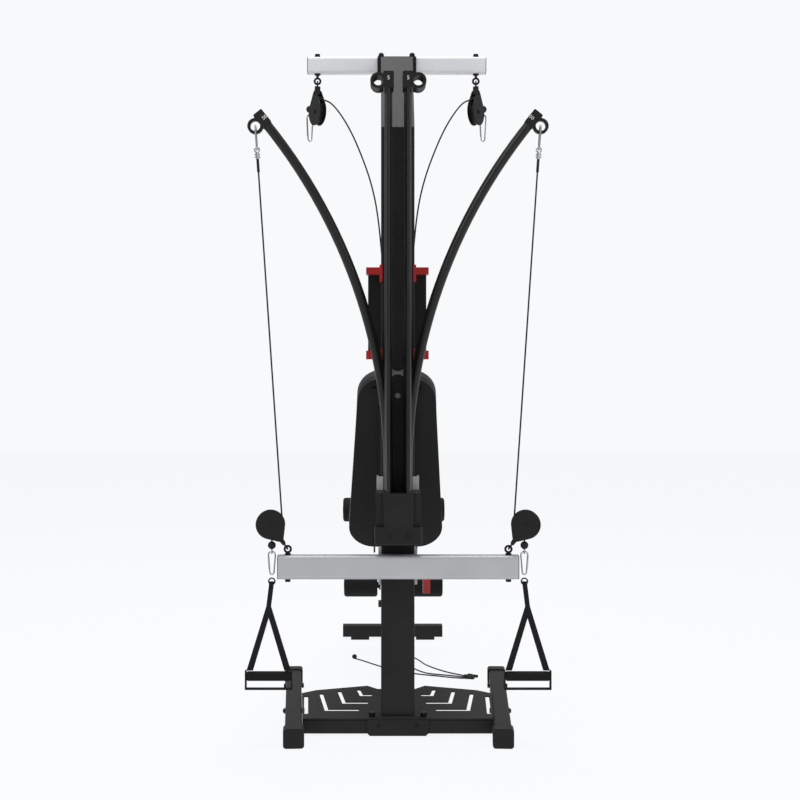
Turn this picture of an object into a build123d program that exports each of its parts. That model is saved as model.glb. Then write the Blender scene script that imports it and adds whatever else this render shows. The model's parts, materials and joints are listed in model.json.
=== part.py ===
"""Flexible-rod home gym: base, tower, rods, pulleys, cables, bench and leg station.

The frame is in millimetres with +Z up. The origin is on the floor, at the centre of the
footprint. -Y is the rod side of the tower and +Y the bench side.
"""
from build123d import *
import math
import os

os.makedirs("parts", exist_ok=True)

# ------------------------------------------------------------------ driving dimensions
SIDES = {"left": -1, "right": 1}

# Base
SIDE_TUBE_W, SIDE_TUBE_TOP, SIDE_TUBE_UNDER = 50, 52, 6
SIDE_NEAR_X, SIDE_FAR_X = 297, 345
SIDE_NEAR_Y, SIDE_FAR_Y = -826, 6
TUBE_WALL = 2.5
SHOE_W, SHOE_TOP, SHOE_CAP, SHOE_GRIP = 60, 56, 14, 34
CROSS_Y, CROSS_TOP = (-697, -647), 48
SLEEVE_X, SLEEVE_WALL = 90, 5
PLATE_T = 4
PLATE_TOP = CROSS_TOP + PLATE_T
PLATE_NEAR_Y = -700

# Tower
TOWER_W, TOWER_NEAR_Y, TOWER_FAR_Y = 98, -690, -630
TOWER_WALL = 3
BEND_Z = 1780
HOOK_Z, HOOK_END_Y = (985, 1012), -469.4
ARM_LEAN = 41.9
ARM_TOP_Z = 2036

# Upper pulley bar
LAT_BAR_X, LAT_BAR_Y, LAT_BAR_Z = 275, (-452, -407), (1989, 2039)
LAT_EYE_X = 246
BRACKET_X = 60

# Lower pulley bar
CHEST_BAR_X, CHEST_BAR_Y, CHEST_BAR_Z = 345, (-778, -728), (468, 536)
CHEST_EYE_X = 318

# Flexible rods, listed from the outermost to the one nearest the tower
ROD_BOX_Z = (622, 718)
ROD_FOOT_Z, ROD_TOP_Z = 636, 1884
LIGHT_RODS = [(12, -803), (15, -787), (18, -768), (23, -745)]
HEAVY_ROD_D, HEAVY_ROD_Y = 28, -716
ROD_X = 28
BEND_START_Z, BEND_R, BEND_ANGLE = 780, 1600, 39.1

# Cables and pulleys
CABLE_D = 4.8
GROOVE_R, SHEAVE_R, PLATE_R = 32, 37, 42
SHEAVE_W, CHEEK_GAP, CHEEK_T = 12, 15, 3
STOP_R = 11.5
AXLE_R = 5
RUNNING = 0.05
CLEAR = 0.4

# Bench and leg station
RAIL_SLOPE = 3
RAIL_W, RAIL_H, RAIL_START_Y, RAIL_END_Y, RAIL_TOP_AT_START = 80, 55, -596, 690, 502
SEAT_W, SEAT_LEN, SEAT_START_Y = 300, 310, -10
BACK_W_TOP, BACK_W_FOOT, BACK_LEN = 240, 326, 685
BACK_FOOT_Y, BACK_FOOT_Z, BACK_LEAN = -100, 486, 33.7
ROLLER_R = 44
UPPER_ROLLER_Y, UPPER_ROLLER_Z = 424, 552
LOWER_ROLLER_Y, LOWER_ROLLER_Z = 576, 250
FOOT_X, FOOT_Y, FOOT_Z = 197, (791.7, 841.7), (12, 56)

LAT_MID_Y = sum(LAT_BAR_Y) / 2
CHEST_MID_Y = sum(CHEST_BAR_Y) / 2


# ------------------------------------------------------------------ helpers
def slab(x, y, z, mode=Mode.ADD):
    """Box between the low and high values given for each axis."""
    centre = tuple((low + high) / 2 for low, high in (x, y, z))
    sizes = [high - low for low, high in (x, y, z)]
    with Locations(centre):
        return Box(*sizes, mode=mode)


def bar(start, end, radius, mode=Mode.ADD):
    """Round bar of the given radius from one point to another."""
    way = Vector(*end) - Vector(*start)
    with Locations(Plane(origin=start, z_dir=way)):
        return Cylinder(radius, way.length, align=(Align.CENTER, Align.CENTER, Align.MIN), mode=mode)


def ball(centre, radius, mode=Mode.ADD):
    """Sphere at a point."""
    with Locations(centre):
        return Sphere(radius, mode=mode)


def rectangular_tube(plane, width, height, length, corner, wall):
    """Rounded rectangular tube that starts on a plane and runs along its normal."""
    with BuildSketch(plane) as section:
        RectangleRounded(width, height, corner)
        RectangleRounded(width - 2 * wall, height - 2 * wall, corner - wall / 2, mode=Mode.SUBTRACT)
    extrude(section.sketch, amount=length)


def ring(centre, normal, middle_radius, wire_radius, mode=Mode.ADD):
    """Closed ring of round wire about a normal."""
    with Locations(Plane(origin=centre, z_dir=normal)):
        return Torus(middle_radius, wire_radius, mode=mode)


def round_path(points, radii):
    """Straight runs between points, joined by tangent arcs."""
    with BuildLine(mode=Mode.PRIVATE) as route:
        FilletPolyline(*points, radius=radii)
    return route.wire()


def corner_radii(points):
    """Arc radius at each inner point: 0.45 of the shorter run over the tangent of half the turn."""
    radii = []
    for before, at, after in zip(points, points[1:], points[2:]):
        arriving = Vector(*at) - Vector(*before)
        leaving = Vector(*after) - Vector(*at)
        half_turn = math.radians(arriving.get_angle(leaving)) / 2
        radii.append(0.45 * min(arriving.length, leaving.length) / math.tan(half_turn))
    return radii


def span(side, near, far):
    """Low and high X of a stretch between two distances from the centre, on one side."""
    return (near, far) if side > 0 else (-far, -near)


def finish(builder, name):
    """Give a finished piece its label and write it."""
    builder.part.label = name
    export_step(builder.part, f"parts/{name}.step")


# ------------------------------------------------------------------ base
SPLAY = math.degrees(math.atan2(SIDE_FAR_X - SIDE_NEAR_X, SIDE_FAR_Y - SIDE_NEAR_Y))
SIDE_LEN = math.hypot(SIDE_FAR_X - SIDE_NEAR_X, SIDE_FAR_Y - SIDE_NEAR_Y)
SIDE_TUBE_H = SIDE_TUBE_TOP - SIDE_TUBE_UNDER
SIDE_MID_Z = (SIDE_TUBE_TOP + SIDE_TUBE_UNDER) / 2


def side_plane(side, along, height=SIDE_MID_Z):
    """Plane across a side tube at a distance from its near end, facing its far end."""
    lean = math.radians(SPLAY)
    x = side * (SIDE_NEAR_X + along * math.sin(lean))
    y = SIDE_NEAR_Y + along * math.cos(lean)
    return Plane(
        origin=(x, y, height),
        x_dir=(math.cos(lean), -side * math.sin(lean), 0),
        z_dir=(side * math.sin(lean), math.cos(lean), 0),
    )


def side_inner_x(y):
    """Distance from the centre to the inner wall of a side tube."""
    share = (y - SIDE_NEAR_Y) / (SIDE_FAR_Y - SIDE_NEAR_Y)
    return SIDE_NEAR_X + share * (SIDE_FAR_X - SIDE_NEAR_X) - SIDE_TUBE_W / 2 - 0.5


with BuildPart() as side_tubes:
    for side in SIDES.values():
        rectangular_tube(side_plane(side, 0), SIDE_TUBE_W, SIDE_TUBE_H, SIDE_LEN, 6, TUBE_WALL)
finish(side_tubes, "base_side_tubes")

with BuildPart() as shoes:
    for side in SIDES.values():
        for along, outward in ((0, -1), (SIDE_LEN, 1)):
            start = -SHOE_CAP if outward < 0 else SIDE_LEN - SHOE_GRIP
            middle = SHOE_TOP / 2
            with BuildSketch(side_plane(side, start, middle)):
                RectangleRounded(SHOE_W, SHOE_TOP, 9)
            extrude(amount=SHOE_CAP + SHOE_GRIP)
            hollow = 0 if outward < 0 else SIDE_LEN - SHOE_GRIP
            with BuildSketch(side_plane(side, hollow)):
                Rectangle(SIDE_TUBE_W + 0.2, SIDE_TUBE_H + 0.2)
            extrude(amount=SHOE_GRIP, mode=Mode.SUBTRACT)
finish(shoes, "base_shoes")

CROSS_END = side_inner_x(CROSS_Y[0])
with BuildPart() as cross_tube:
    slab((-CROSS_END, CROSS_END), CROSS_Y, (SIDE_TUBE_UNDER, CROSS_TOP))
    fillet(cross_tube.edges().filter_by(Axis.X), 4)
    inner = (CROSS_Y[0] + TUBE_WALL, CROSS_Y[1] - TUBE_WALL)
    slab((-CROSS_END, CROSS_END), inner, (SIDE_TUBE_UNDER + TUBE_WALL, CROSS_TOP - TUBE_WALL), Mode.SUBTRACT)
finish(cross_tube, "base_cross_tube")

with BuildPart() as sleeve:
    near, far = CROSS_Y[0] - SLEEVE_WALL, CROSS_Y[1] + SLEEVE_WALL
    slab((-SLEEVE_X, SLEEVE_X), (near, far), (1, CROSS_TOP))
    corners = sleeve.edges().filter_by(Axis.Y).group_by(Axis.Z)[0]
    chamfer(corners, 8)
    slab((-SLEEVE_X, SLEEVE_X), CROSS_Y, (SIDE_TUBE_UNDER, CROSS_TOP), Mode.SUBTRACT)
finish(sleeve, "base_sleeve")


# ------------------------------------------------------------------ platform
def platform_outline():
    """Half outline of the tread plate on the +X side, from the near edge to the far one."""
    return [
        (0, PLATE_NEAR_Y),
        (side_inner_x(PLATE_NEAR_Y), PLATE_NEAR_Y),
        (side_inner_x(-372), -372),
        (255, -330),
        (92, -266),
        (60, -313),
        (0, -313),
    ]


# Slots from the outermost in: far end, bend and inner end of each, on the +X side
SLOTS = [
    [(282, -418), (271, -638)],
    [(236, -384), (212, -593), (115, -593)],
    [(180, -350), (162, -501), (88, -501)],
    [(120, -326), (110, -398), (76, -398)],
]
SLOT_LEG_W, SLOT_FOOT_W = 12, 26

with BuildPart() as platform:
    for side in SIDES.values():
        with BuildSketch(Plane.XY.offset(CROSS_TOP)):
            with BuildLine():
                Polyline(*[(side * x, y) for x, y in platform_outline()], close=True)
            make_face()
        extrude(amount=PLATE_T)
        for slot in SLOTS:
            far, bend = slot[:2]
            with BuildSketch(Plane.XY.offset(CROSS_TOP)):
                with BuildLine():
                    Line((side * far[0], far[1]), (side * bend[0], bend[1]))
                trace(line_width=SLOT_LEG_W)
                for x, y in (far, bend):
                    with Locations((side * x, y)):
                        Circle(SLOT_LEG_W / 2)
                for x, y in slot[2:]:
                    middle = side * (bend[0] + SLOT_LEG_W / 2 + x) / 2
                    with Locations((middle, y)):
                        RectangleRounded(bend[0] + SLOT_LEG_W / 2 - x, SLOT_FOOT_W, SLOT_LEG_W / 2 - 1)
            extrude(amount=PLATE_T, mode=Mode.SUBTRACT)
finish(platform, "platform_plate")

COLLAR_NEAR_Y = LIGHT_RODS[0][1] - 9
with BuildPart() as frame_bolts:
    for side in SIDES.values():
        for along in (318, 668):
            plane = side_plane(side, along)
            out = plane.x_dir * side
            wall = SIDE_TUBE_W / 2
            centre = plane.origin
            bar(centre + out * wall, centre + out * (wall + 4), 9)
            bar(centre + out * (wall + 4), centre + out * (wall + 8), 6)
            bar(centre - out * wall, centre - out * (wall + 8), 8)
    for side in SIDES.values():
        bar((side * 56, CROSS_Y[0] - SLEEVE_WALL, 30), (side * 56, CROSS_Y[0] - SLEEVE_WALL - 3, 30), 5)
        bar((side * 76, -672, PLATE_TOP), (side * 76, -672, PLATE_TOP + 12), 9)
    for side in SIDES.values():
        x = side * 48
        bar((x, LAT_MID_Y, LAT_BAR_Z[1]), (x, LAT_MID_Y, LAT_BAR_Z[1] + 6), 9)
        ball((x, LAT_MID_Y, LAT_BAR_Z[1] + 8), 8.6)
        bar((side * 26, COLLAR_NEAR_Y, 596), (side * 26, COLLAR_NEAR_Y - 3, 596), 5)
        bar((side * 57, -655, 500), (side * 63, -655, 500), 8)
    slab((-BRACKET_X, BRACKET_X), LAT_BAR_Y, LAT_BAR_Z, Mode.SUBTRACT)
finish(frame_bolts, "frame_bolts")

# ------------------------------------------------------------------ tower
HALF_W = TOWER_W / 2
TOWER_D = TOWER_FAR_Y - TOWER_NEAR_Y
TOWER_MID_Y = (TOWER_NEAR_Y + TOWER_FAR_Y) / 2

with BuildPart() as post:
    foot = Plane(origin=(0, TOWER_MID_Y, PLATE_TOP))
    rectangular_tube(foot, TOWER_W, TOWER_D, BEND_Z - PLATE_TOP, 5, TOWER_WALL)
    slab((-64, 64), (-700, -618), (PLATE_TOP, PLATE_TOP + 6))
    slab((-HALF_W + 3, HALF_W - 3), (-687, -633), (PLATE_TOP, PLATE_TOP + 6), Mode.SUBTRACT)
    for side in SIDES.values():
        slab(span(side, HALF_W, HALF_W + 6), (-660, HOOK_END_Y), HOOK_Z)
        slab(span(side, HALF_W, HALF_W + 28), (HOOK_END_Y - 6, HOOK_END_Y), HOOK_Z)
finish(post, "tower_post")

ARM_RISE = ARM_TOP_Z - BEND_Z
NEAR_TOP_Y = TOWER_NEAR_Y + ARM_RISE * math.tan(math.radians(ARM_LEAN))
ARM_END_H = 60
with BuildPart() as arm:
    with BuildSketch(Plane.YZ.offset(-HALF_W)):
        with BuildLine():
            Polyline(
                (TOWER_NEAR_Y, BEND_Z + 0.2),
                (NEAR_TOP_Y, ARM_TOP_Z),
                (NEAR_TOP_Y, ARM_TOP_Z - ARM_END_H),
                (TOWER_FAR_Y, BEND_Z + 6),
                (TOWER_FAR_Y, BEND_Z + 0.2),
                close=True,
            )
        make_face()
    extrude(amount=TOWER_W)
finish(arm, "tower_arm")

with BuildPart() as lat_bracket:
    slab((-BRACKET_X, BRACKET_X), (NEAR_TOP_Y, LAT_BAR_Y[0]), (1972, LAT_BAR_Z[1] - 2))
    slab((-BRACKET_X, BRACKET_X), LAT_BAR_Y, (LAT_BAR_Z[0] - 7, LAT_BAR_Z[0]))
    slab((-BRACKET_X, BRACKET_X), (LAT_BAR_Y[1], LAT_BAR_Y[1] + 5), (LAT_BAR_Z[0] - 7, LAT_BAR_Z[1] - 12))
finish(lat_bracket, "lat_bar_bracket")

for name, half, y, z in (
    ("lat_bar", LAT_BAR_X, LAT_BAR_Y, LAT_BAR_Z),
    ("chest_bar", CHEST_BAR_X, CHEST_BAR_Y, CHEST_BAR_Z),
):
    with BuildPart() as pulley_bar:
        plane = Plane(origin=(-half, sum(y) / 2, sum(z) / 2), x_dir=(0, 1, 0), z_dir=(1, 0, 0))
        rectangular_tube(plane, y[1] - y[0], z[1] - z[0], 2 * half, 10, TUBE_WALL)
    finish(pulley_bar, name)

PLUG_T = 2
with BuildPart() as plugs:
    for half, y, z in ((LAT_BAR_X, LAT_BAR_Y, LAT_BAR_Z), (CHEST_BAR_X, CHEST_BAR_Y, CHEST_BAR_Z)):
        for side in SIDES.values():
            plane = Plane(origin=(side * half, sum(y) / 2, sum(z) / 2), x_dir=(0, 1, 0), z_dir=(side, 0, 0))
            with BuildSketch(plane):
                RectangleRounded(y[1] - y[0] - 1, z[1] - z[0] - 1, 9)
            extrude(amount=PLUG_T)
finish(plugs, "bar_end_plugs")

with BuildPart() as saddle:
    slab((-46, 46), (CHEST_BAR_Y[1], TOWER_NEAR_Y), (478, 526))
    slab((-40, 40), (CHEST_BAR_Y[1] + 5, TOWER_NEAR_Y - 5), (470, 530), Mode.SUBTRACT)
finish(saddle, "chest_bar_saddle")


# ------------------------------------------------------------------ eyebolts and bolts
def eyebolt(x, y, z, drop, eye_r, wire_r, direction):
    """Eyebolt with its eye beyond a face: nut against the bar, shank and ring."""
    end = z + direction * drop
    bar((x, y, z), (x, y, z + direction * 5), 9)
    bar((x, y, z), (x, y, end + direction * 2), 4)
    ring((x, y, end + direction * eye_r), (0, 1, 0), eye_r, wire_r)


EYE_R, EYE_WIRE = 9, 3.2
with BuildPart() as eyebolts:
    for side in SIDES.values():
        eyebolt(side * LAT_EYE_X, LAT_MID_Y, LAT_BAR_Z[0], 14, EYE_R, EYE_WIRE, -1)
        bar((side * LAT_EYE_X, LAT_MID_Y, LAT_BAR_Z[1]), (side * LAT_EYE_X, LAT_MID_Y, LAT_BAR_Z[1] + 2), 12)
        bar((side * LAT_EYE_X, LAT_MID_Y, LAT_BAR_Z[1] + 2), (side * LAT_EYE_X, LAT_MID_Y, LAT_BAR_Z[1] + 11), 8)
        eyebolt(side * CHEST_EYE_X, CHEST_MID_Y, CHEST_BAR_Z[1], 8, EYE_R, EYE_WIRE, 1)
        bar((side * CHEST_EYE_X, CHEST_MID_Y, CHEST_BAR_Z[0]), (side * CHEST_EYE_X, CHEST_MID_Y, CHEST_BAR_Z[0] - 9), 8)
finish(eyebolts, "eyebolts")


# ------------------------------------------------------------------ rod box and rods
with BuildPart() as rod_box:
    slab((-65, 65), (COLLAR_NEAR_Y + 14, TOWER_NEAR_Y), ROD_BOX_Z)
    slab((-44, 44), (COLLAR_NEAR_Y, TOWER_NEAR_Y), ROD_BOX_Z)
    fillet(rod_box.edges().filter_by(Axis.Z).group_by(Axis.Y)[0], 8)
    for side in SIDES.values():
        for diameter, y in LIGHT_RODS + [(HEAVY_ROD_D, HEAVY_ROD_Y)]:
            foot, mouth = (side * ROD_X, y, ROD_FOOT_Z), (side * ROD_X, y, ROD_BOX_Z[1] + 1)
            bar(foot, mouth, diameter / 2 + 0.05, Mode.SUBTRACT)
finish(rod_box, "rod_box")

with BuildPart() as collar:
    slab((-68, 68), (COLLAR_NEAR_Y, TOWER_NEAR_Y), (570, ROD_BOX_Z[0]))
    fillet(collar.edges().filter_by(Axis.Z).group_by(Axis.Y)[0], 10)
    chamfer(collar.faces().sort_by(Axis.Z)[0].edges().filter_by(Axis.X).sort_by(Axis.Y)[0:1], 6)
finish(collar, "rod_box_collar")

with BuildPart() as side_brackets:
    for side in SIDES.values():
        slab(span(side, 57, 62), (-690, -625), (662, 748))
        slab(span(side, HALF_W, 57), (-670, -640), (668, 690))
        wing_z = (ROD_BOX_Z[1] + 0.3, ROD_BOX_Z[1] + 40)
        slab(span(side, 57, 62), (TOWER_NEAR_Y - 5, -640), wing_z)
        slab(span(side, 43, 62), (TOWER_NEAR_Y - 5, TOWER_NEAR_Y), wing_z)
        slab(span(side, HALF_W, 57), (-680, -560), (440, 537))
        slab(span(side, RAIL_W / 2, HALF_W), (-592, -562), (450, 500))
finish(side_brackets, "side_brackets")

with BuildPart() as catch:
    with BuildSketch(Plane.XZ.offset(-TOWER_NEAR_Y)):
        with BuildLine():
            Polyline(
                (-16, 1050), (-16, 1072), (-7, 1066), (7, 1066), (16, 1072), (16, 1050), (7, 1056), (-7, 1056), close=True
            )
        make_face()
    extrude(amount=5)
    bar((0, TOWER_NEAR_Y, 994), (0, TOWER_NEAR_Y - 4, 994), 8)
finish(catch, "rod_catch")

with BuildPart() as light_rods:
    for side in SIDES.values():
        for diameter, y in LIGHT_RODS:
            bar((side * ROD_X, y, ROD_FOOT_Z), (side * ROD_X, y, ROD_TOP_Z), diameter / 2)
finish(light_rods, "light_rods")


def heavy_rod_path(side):
    """Straight foot and one long arc that leans outward."""
    turn = math.radians(BEND_ANGLE)
    middle, tip = (
        (side * (ROD_X + BEND_R * (1 - math.cos(t))), HEAVY_ROD_Y, BEND_START_Z + BEND_R * math.sin(t))
        for t in (turn / 2, turn)
    )
    start = (side * ROD_X, HEAVY_ROD_Y, BEND_START_Z)
    return [(side * ROD_X, HEAVY_ROD_Y, ROD_FOOT_Z), start, middle, tip]


with BuildPart() as heavy_rods:
    for side in SIDES.values():
        foot, start, middle, tip = heavy_rod_path(side)
        with BuildLine() as way:
            Line(foot, start)
            ThreePointArc(start, middle, tip)
        with BuildSketch(Plane(origin=foot, z_dir=(0, 0, 1))):
            Circle(HEAVY_ROD_D / 2)
        sweep(path=way.line)
finish(heavy_rods, "heavy_rods")


def rod_cap_shape(side, origin, lean, rod_d):
    """Block over a rod's end, with a ring that stands out to the side."""
    turn = math.radians(lean)
    out = Vector(side * math.cos(turn), 0, -math.sin(turn))
    up = Vector(side * math.sin(turn), 0, math.cos(turn))
    depth = rod_d + 1.4
    base = Vector(*origin)
    face = Plane(origin=base - Vector(0, depth / 2, 0) + up * 12, x_dir=out, z_dir=(0, 1, 0))
    with BuildSketch(face) as block:
        RectangleRounded(31, 48, 4)
    extrude(block.sketch, amount=depth)
    ring_at = base + out * 29 + up * 9
    for radius, mode in ((23, Mode.ADD), (14.5, Mode.SUBTRACT)):
        deep = min(depth, 16) if mode == Mode.ADD else depth + 2
        bar(ring_at - Vector(0, deep / 2, 0), ring_at + Vector(0, deep / 2, 0), radius, mode)
    bar(base - up * 30, base, rod_d / 2 + 0.05, Mode.SUBTRACT)
    return ring_at


with BuildPart() as light_caps:
    for side in SIDES.values():
        for diameter, y in LIGHT_RODS:
            with BuildPart(mode=Mode.PRIVATE) as one_cap:
                rod_cap_shape(side, (side * ROD_X, y, ROD_TOP_Z), 0, diameter)
            add(one_cap.part)
finish(light_caps, "light_rod_caps")

HEAVY_RINGS = {}
with BuildPart() as heavy_caps:
    for side_name, side in SIDES.items():
        with BuildPart(mode=Mode.PRIVATE) as one_cap:
            tip = heavy_rod_path(side)[-1]
            HEAVY_RINGS[side_name] = rod_cap_shape(side, tip, BEND_ANGLE, HEAVY_ROD_D)
        add(one_cap.part)
finish(heavy_caps, "heavy_rod_caps")


# ------------------------------------------------------------------ pulleys
CABLE_PATH_R = GROOVE_R + CABLE_D / 2
UP = Vector(0, 0, 1)
LINK_R, LINK_WIRE = 8, 2
TONGUE_REACH = 20


def pulley_plane(centre, along):
    """Plane of a sheave: local x runs along the given level direction and local y is up."""
    along = Vector(*along).normalized()
    return Plane(origin=centre, x_dir=along, z_dir=along.cross(UP))


def pulley_block(plane, eye):
    """Two cheeks, a tongue between them, the axle and the link that hangs in an eyebolt."""
    eye_at = Vector(*eye)
    toward = (Vector(0, 0) - eye_at).normalized()
    neck = eye_at + toward * (TONGUE_REACH + 20)
    tip = eye_at + toward * TONGUE_REACH
    for face in (-1, 1):
        start = face * CHEEK_GAP / 2 - (CHEEK_T if face < 0 else 0)
        with BuildSketch(plane.offset(start)) as cheek:
            Circle(PLATE_R)
            with Locations((neck.X, neck.Y)):
                Circle(11)
            make_hull()
        extrude(cheek.sketch, amount=CHEEK_T)
    with BuildSketch(plane.offset(-CHEEK_GAP / 2)) as tongue:
        with Locations((neck.X, neck.Y)):
            Circle(7)
        with Locations((tip.X, tip.Y)):
            Circle(5)
        make_hull()
    extrude(tongue.sketch, amount=CHEEK_GAP)
    half = CHEEK_GAP / 2 + CHEEK_T
    axis = plane.z_dir
    bar(plane.origin - axis * (half + 3), plane.origin + axis * (half + 3), AXLE_R)
    rivet = plane.from_local_coords((neck.X, neck.Y, 0))
    bar(rivet - axis * (half + 2), rivet + axis * (half + 2), 3.5)
    link_at = eye_at + toward * LINK_R
    link = plane.from_local_coords((link_at.X, link_at.Y, 0))
    toward_world = plane.from_local_coords((toward.X, toward.Y, 0)) - plane.origin
    ring(link, toward_world.cross(Vector(0, 1, 0)), LINK_R, LINK_WIRE)


def sheave(plane):
    """Grooved wheel with a running bore."""
    axis = plane.z_dir
    half = axis * (SHEAVE_W / 2)
    bar(plane.origin - half, plane.origin + half, SHEAVE_R)
    ring(plane.origin, axis, GROOVE_R + 3.6, 4, Mode.SUBTRACT)
    bar(plane.origin - half, plane.origin + half, AXLE_R + RUNNING, Mode.SUBTRACT)


def snap_hook(plane, top_r, foot_r, length, wire_r):
    """Pear-shaped loop that hangs down from the plane's origin."""
    with BuildSketch(plane.offset(-wire_r)) as outline:
        for grow, mode in ((wire_r, Mode.ADD), (-wire_r, Mode.SUBTRACT)):
            with BuildSketch(mode=Mode.PRIVATE) as loop:
                with Locations((0, -top_r)):
                    Circle(top_r + grow)
                with Locations((0, foot_r - length)):
                    Circle(foot_r + grow)
                make_hull()
            add(loop.sketch, mode=mode)
    extrude(outline.sketch, amount=2 * wire_r)


def down_plane(origin, sideways):
    """Plane whose local y is up and whose local x is the given level direction."""
    return Plane(origin=origin, x_dir=sideways, z_dir=Vector(*sideways).cross(UP))


# ------------------------------------------------------------------ lower cable runs and grips
CHEST_C_X, CHEST_C_Z = 368, 624
CHEST_EYE_Z = CHEST_BAR_Z[1] + 8 + EYE_R
STOP_X, STOP_Z = 364, 564
LEAVE_ANGLE = 50
HOOK_LEN, HOOK_WIRE = 68, 2.5
CLAMP_FROM, CLAMP_TO, SLEEVE_TO = 77, 97, 135
GRIP_PIVOT_Z = STOP_Z - STOP_R - 6
GRIP_HOOK_LEN = 66
STRAP_W, STRAP_T = 14, 3
APEX_Z, STRAP_TOP_Z = 388, 466
FOAM_R, FOAM_HALF, FOAM_X, FOAM_Z = 14, 63, 373, 195


def chest_route(side_name):
    """Points and radii of a rod cable, from its sleeve round the lower sheave to its stop ball."""
    side = SIDES[side_name]
    hook = HEAVY_RINGS[side_name]
    run_x, run_z = CHEST_C_X - abs(hook.X), CHEST_C_Z - hook.Z
    reach = math.hypot(run_x, run_z)
    arrive = math.atan2(run_x, -run_z) - math.asin(CABLE_PATH_R / reach)
    leave = math.radians(LEAVE_ANGLE)
    normal_in = Vector(-math.cos(arrive), -math.sin(arrive))
    normal_out = Vector(-math.cos(leave), -math.sin(leave))
    half_turn = (leave - arrive) / 2
    corner = (normal_in + normal_out).normalized() * (CABLE_PATH_R / math.cos(half_turn))
    corner_x, corner_z = CHEST_C_X + corner.X, CHEST_C_Z + corner.Y
    drop = (STOP_X - corner_x) / math.sin(leave)
    bend_z = corner_z - drop * math.cos(leave)
    corner_at = Vector(side * corner_x, CHEST_MID_Y, corner_z)
    way = (corner_at - hook).normalized()
    points = [
        hook + way * SLEEVE_TO,
        corner_at,
        Vector(side * STOP_X, CHEST_MID_Y, bend_z),
        Vector(side * STOP_X, CHEST_MID_Y, STOP_Z + STOP_R - 1),
    ]
    return hook, way, points, [CABLE_PATH_R, 12]


def cable_tube(points, radii, name):
    """Round cable along runs and arcs, with its volume compared with section times length."""
    path = round_path([tuple(p) for p in points], radii)
    with BuildSketch(Plane(origin=path @ 0, z_dir=path % 0)) as section:
        Circle(CABLE_D / 2)
    tube = sweep(section.sketch, path=path)
    expected = math.pi * (CABLE_D / 2) ** 2 * path.length
    report = [round(path.length), [round(r, 1) for r in radii], round(tube.volume / expected, 4)]
    print(name, "length, radii, volume ratio", report)
    return path


for side_name, side in SIDES.items():
    plane = pulley_plane((side * CHEST_C_X, CHEST_MID_Y, CHEST_C_Z), (side, 0, 0))
    eye = (CHEST_EYE_X - CHEST_C_X, CHEST_EYE_Z - CHEST_C_Z)
    with BuildPart() as chest_block:
        pulley_block(plane, eye)
    finish(chest_block, f"chest_block_{side_name}")
    with BuildPart() as chest_sheave:
        sheave(plane)
    finish(chest_sheave, f"chest_sheave_{side_name}")

    hook, way, points, radii = chest_route(side_name)
    hook_plane = Plane(origin=hook, x_dir=(0, 1, 0), z_dir=Vector(0, 1, 0).cross(way * -1))
    with BuildPart() as rod_hook:
        snap_hook(hook_plane, 12, 7, HOOK_LEN, HOOK_WIRE)
        ring(hook + way * (HOOK_LEN + 1.6), (0, 1, 0), 7, 2.2)
        bar(hook + way * (CLAMP_FROM - 1), hook + way * CLAMP_TO, 5)
        for share in (0.3, 0.7):
            middle = hook + way * (CLAMP_FROM + share * (CLAMP_TO - CLAMP_FROM))
            bar(middle - Vector(8, 0, 0), middle + Vector(8, 0, 0), 2.6)
    finish(rod_hook, f"rod_hook_{side_name}")

    with BuildPart() as rod_cable:
        cable_tube(points, radii, f"rod_cable_{side_name}")
        bar(hook + way * CLAMP_TO, hook + way * SLEEVE_TO, 4)
        ball((side * STOP_X, CHEST_MID_Y, STOP_Z), STOP_R)
        ring((side * STOP_X, CHEST_MID_Y, GRIP_PIVOT_Z), (1, 0, 0), 7, 1.8)
    finish(rod_cable, f"rod_cable_{side_name}")

    pivot = (side * STOP_X, CHEST_MID_Y, GRIP_PIVOT_Z - 0.5)
    with BuildPart() as grip_hook:
        snap_hook(down_plane(pivot, (side, 0, 0)), 10, 6, GRIP_HOOK_LEN, 2.2)
    finish(grip_hook, f"grip_hook_{side_name}")

    with BuildPart() as grip_strap:
        foot_z = FOAM_Z + 8
        half = STRAP_W / 2
        wide = FOAM_HALF - 2
        loop_z = STRAP_TOP_Z - 6
        with BuildSketch(Plane.XZ.offset(-CHEST_MID_Y - STRAP_T / 2)) as webbing:
            with BuildLine():
                Polyline(
                    (side * STOP_X - half, loop_z),
                    (side * STOP_X + half, loop_z),
                    (side * FOAM_X + half, APEX_Z),
                    (side * FOAM_X + wide + 3, foot_z),
                    (side * FOAM_X - wide - 3, foot_z),
                    (side * FOAM_X - half, APEX_Z),
                    close=True,
                )
            make_face()
            with BuildLine():
                Polyline(
                    (side * FOAM_X, APEX_Z - 34),
                    (side * FOAM_X + wide - 16, foot_z),
                    (side * FOAM_X - wide + 16, foot_z),
                    close=True,
                )
            make_face(mode=Mode.SUBTRACT)
        extrude(webbing.sketch, amount=STRAP_T)
        for end in (-1, 1):
            x = side * FOAM_X + end * (FOAM_HALF + 3)
            slab((x - 2, x + 2), (CHEST_MID_Y - 11, CHEST_MID_Y + 11), (152, foot_z))
        x = side * FOAM_X
        slab((x - FOAM_HALF - 5, x + FOAM_HALF + 5), (CHEST_MID_Y - 11, CHEST_MID_Y + 11), (149, 152))
        ring((side * STOP_X, CHEST_MID_Y, loop_z), (0, 1, 0), 9, 2)
    finish(grip_strap, f"grip_strap_{side_name}")

    with BuildPart() as grip_foam:
        bar((x - FOAM_HALF, CHEST_MID_Y, FOAM_Z - 8), (x + FOAM_HALF, CHEST_MID_Y, FOAM_Z - 8), FOAM_R)
    finish(grip_foam, f"grip_foam_{side_name}")

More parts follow.
